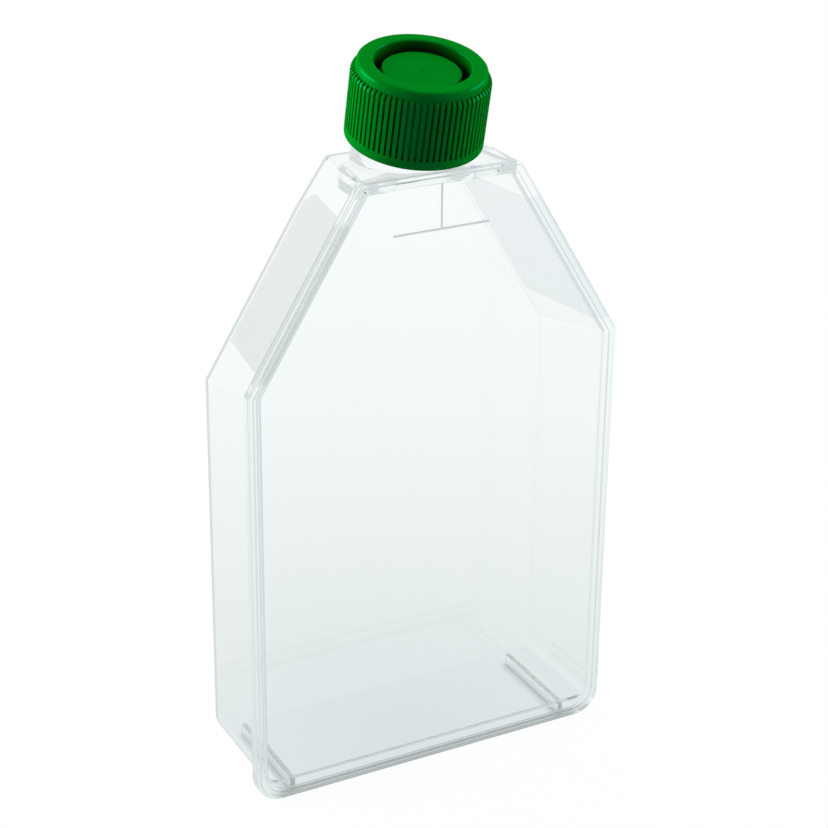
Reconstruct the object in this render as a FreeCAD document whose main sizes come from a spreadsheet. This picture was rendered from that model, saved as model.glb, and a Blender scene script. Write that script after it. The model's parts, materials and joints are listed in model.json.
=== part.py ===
"""Cell culture flask: a clear moulded body with a welded cover plate, and a vented screw cap.

Millimetres. The flask stands on its bottom edge: +Z up, +X to the right, +Y from the cover
plate towards the growth wall. The origin is under the middle of the whole, at the standing plane.
The pieces are drawn with y = 0 at the front of the cover plate's border, and then placed.
"""
import FreeCAD, Part
import Sketcher
import math
import os

SIZES = [
    ("plate_width", 120.0, "cover plate and weld flange, side to side"),
    ("plate_height", 190.5, "cover plate and weld flange, standing edge to top edge"),
    ("shoulder_height", 133.5, "standing edge to the shoulder corner of the flange"),
    ("top_width", 50.4, "top edge of the flange, between its corners"),
    ("foot_radius", 8.0, "bottom corners of the flange"),
    ("corner_radius", 2.5, "shoulder and top corners of the flange"),
    ("foot_share", 0.5, "bottom corner radii lose this share of an inset on the plate"),
    ("corner_share", 0.4, "other corner radii lose this share of an inset"),
    ("plate_thickness", 1.9, "cover plate at its border"),
    ("panel_inset", 4.2, "edge of the plate to the panel, at the sides and shoulders"),
    ("panel_inset_end", 3.0, "edge of the plate to the panel, at the top and bottom"),
    ("panel_recess", 0.5, "the panel lies this far behind the border"),
    ("bead_inset", 0.8, "edge of the plate to the bead round its border"),
    ("bead_width", 1.8, "bead"),
    ("bead_height", 0.6, "bead, above the border"),
    ("mark_width", 0.6, "fill mark on the panel, width of its lines"),
    ("mark_rise", 0.3, "fill mark, height of its lines above the panel"),
    ("mark_span", 30.5, "fill mark, length of its level line"),
    ("mark_stem", 13.2, "fill mark, length of its upright line, from the panel's top edge"),
    ("flange_thickness", 1.8, "weld flange of the body"),
    ("wall", 1.2, "walls of the body"),
    ("body_depth", 38.2, "front of the plate to the outside of the growth wall"),
    ("side_step", 2.7, "flange edge to the walls beside it, at the flange"),
    ("side_draft", 0.2, "side walls, lean over their depth"),
    ("shoulder_draft", 4.5, "shoulder walls, lean over their depth"),
    ("floor_height", 4.1, "standing plane to the outside of the floor"),
    ("roof_drop", 2.5, "top edge of the flange to the outside of the roof"),
    ("body_foot_radius", 5.0, "bottom corners of the body"),
    ("body_corner_radius", 2.0, "shoulder and top corners of the body"),
    ("foot_chamfer", 0.5, "edge between the floor and the growth wall, outside"),
    ("heel_width", 9.7, "side heels, which square off the chamfer under the growth wall"),
    ("heel_spacing", 99.0, "middle to middle of the side heels"),
    ("middle_heel_width", 24.0, "middle heel"),
    ("ramp_rise", 14.6, "roof to the crease where the growth wall turns into the ramp"),
    ("ramp_angle", 8.5, "ramp behind the neck, from upright, degrees"),
    ("rib_spacing", 95.0, "middle to middle of the two standing ribs"),
    ("rib_thickness", 1.6, "standing rib"),
    ("rib_setback", 1.8, "growth wall to the end of a standing rib"),
    ("block_width", 49.6, "block at the foot of the neck"),
    ("block_depth", 18.5, "block, from the flange to its back"),
    ("block_radius", 8.0, "back corners of the block"),
    ("block_front_radius", 0.2, "front corners of the block, at the flange"),
    ("block_drop", 0.4, "top edge of the flange down to the top of the block"),
    ("block_height", 5.1, "block, top to underside, where it stands out from the shoulder walls"),
    ("neck_tilt", 12.3, "neck leans towards the cover plate, degrees"),
    ("neck_setback", 18.9, "front of the plate to the neck axis, at the top edge"),
    ("neck_wall", 1.5, "neck"),
    ("neck_flare", 1.0, "cone at the foot of the neck, wider than the neck by this"),
    ("neck_flare_height", 2.0, "cone at the foot of the neck, above the top edge"),
    ("mouth_chamfer", 0.4, "edges of the mouth"),
    ("thread_pitch", 4.0, "screw thread"),
    ("thread_depth", 0.85, "screw thread"),
    ("thread_root", 2.0, "width of a thread ridge at its root"),
    ("thread_crest", 1.0, "width of a thread ridge at its crest"),
    ("thread_sink", 0.3, "root of a thread ridge, into the wall that carries it"),
    ("thread_start", 16.5, "top edge to the lower end of the neck thread, along the neck"),
    ("neck_turns", 1.5, "turns of the thread on the neck"),
    ("cap_turns", 1.25, "turns of the thread in the cap"),
    ("thread_gap", 0.25, "crest to root, neck and cap"),
    ("cap_lift", 5.7, "top edge to the bottom of the closed cap, along the neck"),
    ("cap_height", 23.15, "cap, bottom edge to the ring on its top"),
    ("cap_top", 1.5, "thickness of the ring"),
    ("skirt_wall", 1.25, "cap skirt behind the grip grooves"),
    ("grip_count", 72, "grip grooves"),
    ("grip_depth", 0.95, "grip grooves"),
    ("grip_width", 0.8, "grip grooves, at the surface"),
    ("grip_root", 0.4, "grip grooves, at the bottom"),
    ("grip_foot", 2.8, "smooth band below the grip grooves"),
    ("grip_crown", 1.5, "height of the rounding at the top of the grip ribs"),
    ("ring_height", 2.45, "ring above the top of the grip ribs"),
    ("ring_step", 1.35, "grip ribs to the edge of the ring"),
    ("ring_chamfer", 0.8, "top outer edge of the ring"),
    ("edge_chamfer", 0.35, "bottom outer edge of the cap"),
    ("rim_gap", 0.15, "mouth of the neck to the underside of the ring"),
    ("well_radius", 13.8, "hole inside the ring"),
    ("plug_wall", 1.0, "plug that fits inside the neck"),
    ("plug_length", 6.5, "underside of the ring to the end of the plug"),
    ("plug_gap", 0.3, "plug to the neck"),
    ("seat_width", 2.2, "seat of the membrane, inwards from the plug"),
    ("seat_thickness", 1.0, "seat of the membrane"),
    ("disc_gap", 2.5, "ring to the middle disc"),
    ("disc_drop", 2.3, "middle disc below the ring"),
    ("disc_thickness", 3.5, "middle disc"),
    ("web_thickness", 1.2, "webs that carry the middle disc"),
    ("web_grip", 0.9, "webs, how far they reach up the side of the middle disc"),
    ("web_count", 6, "webs that carry the middle disc"),
    ("membrane_thickness", 0.3, "vent membrane"),
    ("membrane_margin", 0.5, "edge of the plug to the edge of the membrane"),
    ("membrane_gap", 0.05, "membrane to its seat"),
]


class Size:
    """A length or an angle, with its value and the expression that gives it."""

    def __init__(self, value, text):
        self.value = float(value)
        self.text = text

    def __add__(self, other):
        other = as_size(other)
        return Size(self.value + other.value, f"({self.text} + {other.text})")

    def __sub__(self, other):
        other = as_size(other)
        return Size(self.value - other.value, f"({self.text} - {other.text})")

    def __mul__(self, other):
        other = as_size(other)
        return Size(self.value * other.value, f"({self.text} * {other.text})")

    def __truediv__(self, other):
        other = as_size(other)
        return Size(self.value / other.value, f"({self.text} / {other.text})")

    def __neg__(self):
        return self * -1


def as_size(number):
    return number if isinstance(number, Size) else Size(number, f"({number})")


def sine(angle):
    return Size(math.sin(math.radians(angle.value)), f"sin({angle.text} * 1 deg)")


def cosine(angle):
    return Size(math.cos(math.radians(angle.value)), f"cos({angle.text} * 1 deg)")


def square_root(size):
    return Size(math.sqrt(size.value), f"sqrt({size.text})")


ZERO = as_size(0)
doc = FreeCAD.newDocument("culture_flask")


def write_sheet():
    """Write the sheet of driving sizes, and return each as a Size under its alias."""
    sheet = doc.addObject("Spreadsheet::Sheet", "Sizes")
    for row, (alias, value, note) in enumerate(SIZES, start=1):
        sheet.set(f"A{row}", alias.replace("_", " "))
        sheet.set(f"B{row}", f"{value}")
        sheet.set(f"C{row}", note)
        sheet.setAlias(f"B{row}", alias)
    doc.recompute()
    return {alias: Size(sheet.get(alias), f"Sizes.{alias}") for alias, value, note in SIZES}


# ---------------------------------------------------------------- sketches and features

def new_sketch(body, name, role, forward=ZERO):
    """A sketch on one of the body's own planes, moved forward along the plane's normal."""
    plane = next(each for each in body.Origin.OriginFeatures if getattr(each, "Role", "") == role)
    sketch = body.newObject("Sketcher::SketchObject", name)
    sketch.AttachmentSupport = (plane, [""])
    sketch.MapMode = "FlatFace"
    sketch.setExpression("AttachmentOffset.Base.z", forward.text)
    return sketch


def constrain(sketch, kind, *where, size):
    """A dimension whose value comes from the sheet."""
    number = sketch.addConstraint(Sketcher.Constraint(kind, *where, size.value))
    sketch.setExpression(f"Constraints[{number}]", size.text)


def pin(sketch, geometry, end, point):
    """Give one end of a line, or a point, its two coordinates."""
    constrain(sketch, "DistanceX", -1, 1, geometry, end, size=as_size(point[0]))
    constrain(sketch, "DistanceY", -1, 1, geometry, end, size=as_size(point[1]))


def vector(point):
    return FreeCAD.Vector(as_size(point[0]).value, as_size(point[1]).value, 0)


def draw_polygon(sketch, points):
    """A closed outline of straight lines."""
    first = sketch.GeometryCount
    for start, end in zip(points, points[1:] + points[:1]):
        sketch.addGeometry(Part.LineSegment(vector(start), vector(end)), False)
    for index, point in enumerate(points):
        before = first + (index - 1) % len(points)
        sketch.addConstraint(Sketcher.Constraint("Coincident", before, 2, first + index, 1))
        pin(sketch, first + index, 1, point)


def draw_rounded_polygon(sketch, corners, radii):
    """A closed outline of straight lines with an arc at each corner."""
    first = sketch.GeometryCount
    count = len(corners)
    points = [vector(corner) for corner in corners]
    tangent_points = []
    for index, point in enumerate(points):
        before = (points[index - 1] - point).normalize()
        after = (points[(index + 1) % count] - point).normalize()
        reach = radii[index].value / math.tan(before.getAngle(after) / 2)
        tangent_points.append((point + before * reach, point + after * reach))
    for index in range(count):
        start, end = tangent_points[index][1], tangent_points[(index + 1) % count][0]
        sketch.addGeometry(Part.LineSegment(start, end), False)
    for index, point in enumerate(points):
        start, end = tangent_points[index]
        chord_middle = (start + end) / 2
        to_corner = math.hypot((start - point).Length, radii[index].value) - radii[index].value
        middle = point + (chord_middle - point).normalize() * to_corner
        arc = sketch.addGeometry(Part.Arc(start, middle, end), False)
        corner = sketch.addGeometry(Part.Point(point), True)
        line_in = first + (index - 1) % count
        line_out = first + index
        arc_start = 1 if sketch.getPoint(arc, 1).distanceToPoint(start) < 1e-6 else 2
        sketch.addConstraint(Sketcher.Constraint("Tangent", line_in, 2, arc, arc_start))
        sketch.addConstraint(Sketcher.Constraint("Tangent", line_out, 1, arc, 3 - arc_start))
        sketch.addConstraint(Sketcher.Constraint("PointOnObject", corner, 1, line_in))
        sketch.addConstraint(Sketcher.Constraint("PointOnObject", corner, 1, line_out))
        constrain(sketch, "Radius", arc, size=radii[index])
        pin(sketch, corner, 1, corners[index])


def draw_circle(sketch, radius):
    circle = Part.Circle(FreeCAD.Vector(), FreeCAD.Vector(0, 0, 1), radius.value)
    number = sketch.addGeometry(circle, False)
    sketch.addConstraint(Sketcher.Constraint("Coincident", number, 3, -1, 1))
    constrain(sketch, "Radius", number, size=radius)


def draw_rectangle(sketch, low, high):
    draw_polygon(sketch, [low, (high[0], low[1]), high, (low[0], high[1])])


def add_pad(body, name, sketch, length, reversed_way=False, kind="PartDesign::Pad"):
    """A Pad, or a Pocket, of a given length along the sketch's normal or against it."""
    feature = body.newObject(kind, name)
    feature.Profile = sketch
    feature.Type = "Length"
    feature.setExpression("Length", length.text)
    feature.Reversed = reversed_way
    sketch.Visibility = False
    return feature


def add_revolution(body, name, sketch, kind="PartDesign::Revolution"):
    """A full turn about the sketch's upright axis."""
    feature = body.newObject(kind, name)
    feature.Profile = sketch
    feature.ReferenceAxis = (sketch, ["V_Axis"])
    feature.Angle = 360
    return feature


def add_pattern(body, name, features, count):
    """Copies in a circle about the body's Z axis."""
    axis = next(each for each in body.Origin.OriginFeatures if getattr(each, "Role", "") == "Z_Axis")
    pattern = body.newObject("PartDesign::PolarPattern", name)
    pattern.Originals = features
    pattern.Axis = (axis, [""])
    pattern.Angle = 360
    pattern.setExpression("Occurrences", count.text)
    body.Tip = pattern
    return pattern


def lean(sketch, along, up, angle):
    """Turn a sketch on the YZ plane about the point (along, up), counter-clockwise."""
    sketch.AttachmentOffset = FreeCAD.Placement(
        FreeCAD.Vector(along.value, up.value, 0),
        FreeCAD.Rotation(FreeCAD.Vector(0, 0, 1), angle.value))
    sketch.setExpression("AttachmentOffset.Base.x", along.text)
    sketch.setExpression("AttachmentOffset.Base.y", up.text)
    sketch.setExpression("AttachmentOffset.Rotation.Angle", angle.text)


def add_thread(body, name, sketch, pitch, turns):
    """A ridge of the sketch's outline, swept up a right-hand helix about its upright axis."""
    feature = body.newObject("PartDesign::AdditiveHelix", name)
    feature.Profile = sketch
    feature.ReferenceAxis = (sketch, ["V_Axis"])
    feature.Mode = 1
    feature.setExpression("Pitch", pitch.text)
    feature.setExpression("Turns", turns.text)
    feature.LeftHanded = False
    return feature


# ---------------------------------------------------------------- outline of the flask

def outline(size, side, shoulder, foot, top):
    """Corners of the flask's outline, moved inwards by the four given steps.

    Anticlockwise from the bottom right, as (x, z) pairs.
    """
    half_width = size["plate_width"] / 2
    half_top = size["top_width"] / 2
    run = half_width - half_top
    rise = size["plate_height"] - size["shoulder_height"]
    slope = square_root(run * run + rise * rise)
    reach = (half_width * rise + size["shoulder_height"] * run) / slope - shoulder
    side_x = half_width - side
    top_z = size["plate_height"] - top
    shoulder_z = (reach * slope - side_x * rise) / run
    top_x = (reach * slope - top_z * run) / rise
    right = [(side_x, as_size(foot)), (side_x, shoulder_z), (top_x, top_z)]
    left = [(-x, z) for x, z in reversed(right)]
    return right + left


def radii(foot, corner):
    """Corner radii in the order of outline()."""
    return [foot, corner, corner, corner, corner, foot]


def draw_plate_outline(sketch, size, inset, inset_end):
    """The flange's outline moved inwards, with corner radii that follow."""
    corners = outline(size, inset, inset, inset_end, inset_end)
    foot = size["foot_radius"] - inset * size["foot_share"]
    corner = size["corner_radius"] - inset * size["corner_share"]
    draw_rounded_polygon(sketch, corners, radii(foot, corner))


# ---------------------------------------------------------------- sizes worked out from the others

def work_out(size):
    """Sizes that follow from the driving ones, for the pieces that fit each other."""
    w = dict(size)
    w["plug_radius"] = size["well_radius"] + size["plug_wall"]
    w["bore_radius"] = w["plug_radius"] + size["plug_gap"]
    w["neck_radius"] = w["bore_radius"] + size["neck_wall"]
    w["crest_radius"] = w["neck_radius"] + size["thread_gap"]
    w["skirt_bore"] = w["crest_radius"] + size["thread_depth"]
    w["skirt_radius"] = w["skirt_bore"] + size["skirt_wall"]
    w["cap_radius"] = w["skirt_radius"] + size["grip_depth"]
    w["ring_radius"] = w["cap_radius"] - size["ring_step"]
    w["ceiling"] = size["cap_height"] - size["cap_top"]
    w["grip_top"] = size["cap_height"] - size["ring_height"]
    w["rib_top"] = w["grip_top"] - size["grip_crown"]
    w["plug_end"] = w["ceiling"] - size["plug_length"]
    w["seat_radius"] = size["well_radius"] - size["seat_width"]
    w["disc_radius"] = size["well_radius"] - size["disc_gap"]
    w["disc_top"] = size["cap_height"] - size["disc_drop"]
    w["membrane_radius"] = w["plug_radius"] - size["membrane_margin"]
    w["membrane_top"] = w["plug_end"] - size["membrane_gap"]
    w["mouth"] = size["cap_lift"] + w["ceiling"] - size["rim_gap"]
    w["roof_height"] = size["plate_height"] - size["roof_drop"]
    w["flange_back"] = size["plate_thickness"] + size["flange_thickness"]
    w["crease_height"] = w["roof_height"] - size["ramp_rise"]
    tilt = size["neck_tilt"]
    w["neck_root"] = (size["roof_drop"] + w["neck_radius"] * sine(tilt)) / cosine(tilt)
    cap_front = (w["cap_radius"] * cosine(tilt)
                 + (size["cap_lift"] + w["rib_top"]) * sine(tilt) - size["neck_setback"])
    w["plate_front"] = (cap_front - size["body_depth"]) / 2
    return w


def place_flask(piece, w):
    """Bring a piece drawn in the plate's frame into the frame of the whole."""
    piece.setExpression("Placement.Base.y", w["plate_front"].text)


def place_on_neck(piece, w, along):
    """Stand a piece on the neck's axis, the given way up the neck from the top edge."""
    tilt = w["neck_tilt"]
    y = w["plate_front"] + w["neck_setback"] - along * sine(tilt)
    z = w["plate_height"] + along * cosine(tilt)
    turn = FreeCAD.Rotation(FreeCAD.Vector(1, 0, 0), tilt.value)
    piece.Placement = FreeCAD.Placement(FreeCAD.Vector(0, y.value, z.value), turn)
    piece.setExpression("Placement.Base.y", y.text)
    piece.setExpression("Placement.Base.z", z.text)
    piece.setExpression("Placement.Rotation.Angle", tilt.text)


# ---------------------------------------------------------------- cover plate

def make_cover_plate(w):
    """Flat plate with a bead round its border, a sunk panel and the fill mark."""
    body = doc.addObject("PartDesign::Body", "cover_plate")

    slab = new_sketch(body, "plate_outline", "XZ_Plane")
    draw_plate_outline(slab, w, ZERO, ZERO)
    add_pad(body, "plate_slab", slab, w["plate_thickness"], reversed_way=True)

    bead = new_sketch(body, "bead_outline", "XZ_Plane")
    inner = w["bead_inset"] + w["bead_width"]
    draw_plate_outline(bead, w, w["bead_inset"], w["bead_inset"])
    draw_plate_outline(bead, w, inner, inner)
    add_pad(body, "plate_bead", bead, w["bead_height"])

    panel = new_sketch(body, "panel_outline", "XZ_Plane")
    draw_plate_outline(panel, w, w["panel_inset"], w["panel_inset_end"])
    add_pad(body, "panel", panel, w["panel_recess"], kind="PartDesign::Pocket")

    mark = new_sketch(body, "mark_lines", "XZ_Plane", -w["panel_recess"])
    half_line = w["mark_width"] / 2
    half_span = w["mark_span"] / 2
    panel_top = w["plate_height"] - w["panel_inset_end"]
    level_top = panel_top - w["mark_stem"]
    level_foot = level_top - w["mark_width"]
    draw_polygon(mark, [
        (-half_span, level_foot), (half_span, level_foot), (half_span, level_top),
        (half_line, level_top), (half_line, panel_top), (-half_line, panel_top),
        (-half_line, level_top), (-half_span, level_top)])
    add_pad(body, "fill_mark", mark, w["mark_rise"])
    place_flask(body, w)
    return body


# ---------------------------------------------------------------- flask body

def draw_section(sketch, w, inwards, foot_step, shoulder_lean, side_lean):
    """The body's outline at one depth: inside the flange, and further in by `inwards`."""
    corners = outline(
        w, w["side_step"] + side_lean + inwards, w["side_step"] + shoulder_lean + inwards,
        w["floor_height"] + foot_step + inwards, w["roof_drop"] + inwards)
    foot = w["body_foot_radius"] - inwards
    corner = w["body_corner_radius"] - inwards * w["corner_share"]
    draw_rounded_polygon(sketch, corners, radii(foot, corner))


def make_chamber_form(name, w, inwards, chamfer):
    """The tapering six-sided form of the body, from behind the plate to the growth wall.

    With `inwards` zero it is the outside, and `chamfer` breaks the edge above the floor.
    With the wall it is the space inside.
    """
    body = doc.addObject("PartDesign::Body", name)
    front = w["plate_thickness"]
    back = w["body_depth"] - inwards
    depths = [(front, ZERO), (back - chamfer, ZERO)]
    if chamfer is not ZERO:
        depths.append((back, chamfer))
    sections = []
    for number, (depth, step) in enumerate(depths, start=1):
        section = new_sketch(body, f"{name}_section_{number}", "XZ_Plane", -depth)
        share = (depth - front) / (back - front)
        shoulder_lean = w["shoulder_draft"] * share
        draw_section(section, w, inwards, step, shoulder_lean, w["side_draft"] * share)
        sections.append(section)
    loft = body.newObject("PartDesign::AdditiveLoft", f"{name}_loft")
    loft.Profile = sections[0]
    loft.Sections = sections[1:]
    loft.Ruled = True

    ramp = new_sketch(body, f"{name}_ramp", "YZ_Plane")
    angle = w["ramp_angle"]
    slope = sine(angle) / cosine(angle)
    crease = w["crease_height"] - inwards * (as_size(1) - cosine(angle)) / sine(angle)
    past_top = w["plate_height"] + w["wall"]
    draw_polygon(ramp, [
        (back, crease), (back + w["wall"] * 2, crease), (back + w["wall"] * 2, past_top),
        (back - (past_top - crease) * slope, past_top)])
    cut = add_pad(body, f"{name}_ramp_cut", ramp, w["plate_width"], kind="PartDesign::Pocket")
    cut.Midplane = True
    return body


def add_standing_ribs(body, w):
    """Two thin ribs under the floor, which the flask stands on together with its flange."""
    half_rib = w["rib_thickness"] / 2
    end = w["body_depth"] - w["rib_setback"]
    for side, sign in (("left", -1), ("right", 1)):
        middle = w["rib_spacing"] * sign / 2
        sketch = new_sketch(body, f"{side}_rib_outline", "XY_Plane")
        draw_rectangle(sketch, (middle - half_rib, w["plate_thickness"]), (middle + half_rib, end))
        add_pad(body, f"{side}_rib", sketch, w["floor_height"] + w["wall"] / 2)


def add_heels(body, w):
    """Three heels that square off the chamfer between the floor and the growth wall."""
    side = w["heel_spacing"] / 2
    heels = [("left", -side, w["heel_width"]), ("middle", ZERO, w["middle_heel_width"]),
             ("right", side, w["heel_width"])]
    for name, middle, width in heels:
        sketch = new_sketch(body, f"{name}_heel_outline", "XY_Plane", w["floor_height"])
        low = (middle - width / 2, w["body_depth"] - w["wall"])
        draw_rectangle(sketch, low, (middle + width / 2, w["body_depth"]))
        add_pad(body, f"{name}_heel", sketch, w["wall"])


def add_neck_block(body, w):
    """Raised block across the top behind the flange, with rounded back corners."""
    half_width = w["block_width"] / 2
    front = w["plate_thickness"]
    back = w["flange_back"] + w["block_depth"]
    bottom = w["plate_height"] - w["block_drop"] - w["block_height"]
    sketch = new_sketch(body, "block_outline", "XY_Plane", bottom)
    tight = w["block_front_radius"]
    draw_rounded_polygon(
        sketch, [(-half_width, front), (half_width, front), (half_width, back), (-half_width, back)],
        [tight, tight, w["block_radius"], w["block_radius"]])
    add_pad(body, "neck_block", sketch, w["block_height"])


def add_neck(body, w):
    """Leaning neck with a short cone at its foot, a chamfered mouth and a screw thread."""
    radius = w["neck_radius"]
    flare = radius + w["neck_flare"]
    chamfer = w["mouth_chamfer"]
    mouth = w["mouth"]
    profile = new_sketch(body, "neck_profile", "YZ_Plane")
    lean(profile, w["neck_setback"], w["plate_height"], w["neck_tilt"])
    draw_polygon(profile, [
        (0, -w["neck_root"]), (flare, -w["neck_root"]), (flare, 0), (radius, w["neck_flare_height"]),
        (radius, mouth - chamfer), (radius - chamfer, mouth), (0, mouth)])
    add_revolution(body, "neck", profile)

    ridge = new_sketch(body, "neck_thread_profile", "YZ_Plane")
    lean(ridge, w["neck_setback"], w["plate_height"], w["neck_tilt"])
    half_root = w["thread_root"] / 2
    half_crest = w["thread_crest"] / 2
    sunk = radius - w["thread_sink"]
    crest = radius + w["thread_depth"]
    start = w["thread_start"]
    draw_polygon(ridge, [
        (sunk, start - half_root), (radius, start - half_root), (crest, start - half_crest),
        (crest, start + half_crest), (radius, start + half_root), (sunk, start + half_root)])
    add_thread(body, "neck_thread", ridge, w["thread_pitch"], w["neck_turns"])


def make_flask_body(w):
    """Growth wall, side walls, floor, roof, flange, ribs, block and neck, moulded as one."""
    outside = make_chamber_form("body_outside", w, ZERO, w["foot_chamfer"])
    flange = new_sketch(outside, "flange_outline", "XZ_Plane", -w["plate_thickness"])
    draw_plate_outline(flange, w, ZERO, ZERO)
    add_pad(outside, "flange", flange, w["flange_thickness"], reversed_way=True)
    add_standing_ribs(outside, w)
    add_heels(outside, w)
    add_neck_block(outside, w)
    add_neck(outside, w)

    seat = new_sketch(outside, "cover_seat_outline", "XZ_Plane", -w["plate_thickness"])
    half_width = w["plate_width"] / 2
    draw_rectangle(seat, (-half_width, 0), (half_width, w["plate_height"]))
    add_pad(outside, "cover_seat", seat, w["body_depth"], kind="PartDesign::Pocket", reversed_way=True)

    inside = make_chamber_form("body_inside", w, w["wall"], ZERO)
    bore = new_sketch(inside, "bore_profile", "YZ_Plane")
    lean(bore, w["neck_setback"], w["plate_height"], w["neck_tilt"])
    radius = w["bore_radius"]
    chamfer = w["mouth_chamfer"]
    deep = -(w["neck_root"] + w["wall"] * 2)
    past_mouth = w["mouth"] + chamfer
    draw_polygon(bore, [
        (0, deep), (radius, deep), (radius, w["mouth"] - chamfer), (radius + chamfer * 2, past_mouth),
        (0, past_mouth)])
    add_revolution(inside, "bore", bore)

    hollow = doc.addObject("Part::Cut", "flask_body")
    hollow.Base = outside
    hollow.Tool = inside
    place_flask(hollow, w)
    return hollow


# ---------------------------------------------------------------- screw cap and membrane

def make_screw_cap(w):
    """Ribbed skirt, ring, plug with a seat for the membrane, and a middle disc over the vent."""
    body = doc.addObject("PartDesign::Body", "screw_cap")
    top = w["cap_height"]
    radius = w["cap_radius"]
    bore = w["skirt_bore"]
    ceiling = w["ceiling"]
    plug = w["plug_radius"]
    well = w["well_radius"]
    ring = w["ring_radius"]
    chamfer = w["edge_chamfer"]
    ring_chamfer = w["ring_chamfer"]
    crown_radius = radius - w["grip_depth"] * (as_size(1) - cosine(as_size(45)))
    crown_height = w["rib_top"] + w["grip_crown"] * sine(as_size(45))
    seat_top = w["plug_end"] + w["seat_thickness"]
    profile = new_sketch(body, "cap_profile", "YZ_Plane")
    draw_polygon(profile, [
        (bore, 0), (radius - chamfer, 0), (radius, chamfer), (radius, w["rib_top"]),
        (crown_radius, crown_height), (w["skirt_radius"], w["grip_top"]), (ring, w["grip_top"]),
        (ring, top - ring_chamfer), (ring - ring_chamfer, top), (well, top), (well, seat_top),
        (w["seat_radius"], seat_top),
        (w["seat_radius"], w["plug_end"]), (plug, w["plug_end"]), (plug, ceiling), (bore, ceiling)])
    add_revolution(body, "cap_shell", profile)

    groove = new_sketch(body, "grip_groove_outline", "XY_Plane", w["grip_foot"])
    half_mouth = w["grip_width"] / 2
    half_root = w["grip_root"] / 2
    clear = radius + w["grip_depth"]
    draw_polygon(groove, [
        (-half_root, w["skirt_radius"]), (half_root, w["skirt_radius"]), (half_mouth, radius),
        (half_mouth, clear), (-half_mouth, clear), (-half_mouth, radius)])
    cut = add_pad(body, "grip_groove", groove, top, kind="PartDesign::Pocket", reversed_way=True)
    add_pattern(body, "grip_grooves", [cut], w["grip_count"])

    disc = new_sketch(body, "disc_outline", "XY_Plane", w["disc_top"])
    draw_circle(disc, w["disc_radius"])
    sunk_web = well + w["plug_wall"] / 2
    web = new_sketch(body, "web_outline", "XY_Plane", seat_top)
    half_web = w["web_thickness"] / 2
    draw_rectangle(web, (-half_web, w["seat_radius"] - w["seat_width"]), (half_web, sunk_web))
    disc_foot = w["disc_top"] - w["disc_thickness"]
    first_web = add_pad(body, "web", web, disc_foot + w["web_grip"] - seat_top)
    add_pattern(body, "webs", [first_web], w["web_count"])
    add_pad(body, "disc", disc, w["disc_thickness"], reversed_way=True)

    ridge = new_sketch(body, "cap_thread_profile", "YZ_Plane")
    half_root = w["thread_root"] / 2
    half_crest = w["thread_crest"] / 2
    crest = w["crest_radius"]
    start = w["thread_start"] - w["cap_lift"] - w["thread_pitch"] / 2
    sunk = bore + w["thread_sink"]
    draw_polygon(ridge, [
        (crest, start - half_crest), (bore, start - half_root), (sunk, start - half_root),
        (sunk, start + half_root), (bore, start + half_root), (crest, start + half_crest)])
    add_thread(body, "cap_thread", ridge, w["thread_pitch"], w["cap_turns"])
    place_on_neck(body, w, w["cap_lift"])
    return body


def make_vent_membrane(w):
    """Thin filter disc under the end of the plug."""
    body = doc.addObject("PartDesign::Body", "vent_membrane")
    sketch = new_sketch(body, "membrane_outline", "XY_Plane", w["membrane_top"])
    draw_circle(sketch, w["membrane_radius"])
    add_pad(body, "membrane", sketch, w["membrane_thickness"], reversed_way=True)
    place_on_neck(body, w, w["cap_lift"])
    return body


# ---------------------------------------------------------------- build and export

def check_objects():
    """Stop at any object that failed to build."""
    failed = [each.Name for each in doc.Objects if {"Invalid", "Error"} & set(each.State)]
    if failed:
        raise RuntimeError(f"failed objects: {failed}")


def export(pieces):
    """Write each piece to its own file, after checking its shape."""
    os.makedirs("parts", exist_ok=True)
    for piece in pieces:
        if piece.Shape.isNull() or not piece.Shape.isValid() or len(piece.Shape.Solids) != 1:
            raise RuntimeError(f"{piece.Label} is not one valid solid")
    for piece in pieces:
        piece.Shape.exportStep(f"parts/{piece.Label}.step")
        box = piece.Shape.BoundBox
        print(f"{piece.Label}: volume {piece.Shape.Volume:.0f}, x {box.XMin:.2f} {box.XMax:.2f}, "
              f"y {box.YMin:.2f} {box.YMax:.2f}, z {box.ZMin:.2f} {box.ZMax:.2f}")


def main():
    w = work_out(write_sheet())
    pieces = [make_flask_body(w), make_cover_plate(w), make_screw_cap(w), make_vent_membrane(w)]
    for piece in pieces:
        piece.Label = piece.Name
    doc.recompute()
    check_objects()
    export(pieces)


main()
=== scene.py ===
import json
import math

import bmesh
import bpy
from bpy.props import FloatProperty, FloatVectorProperty, IntProperty, PointerProperty
from mathutils import Matrix, Vector

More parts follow.
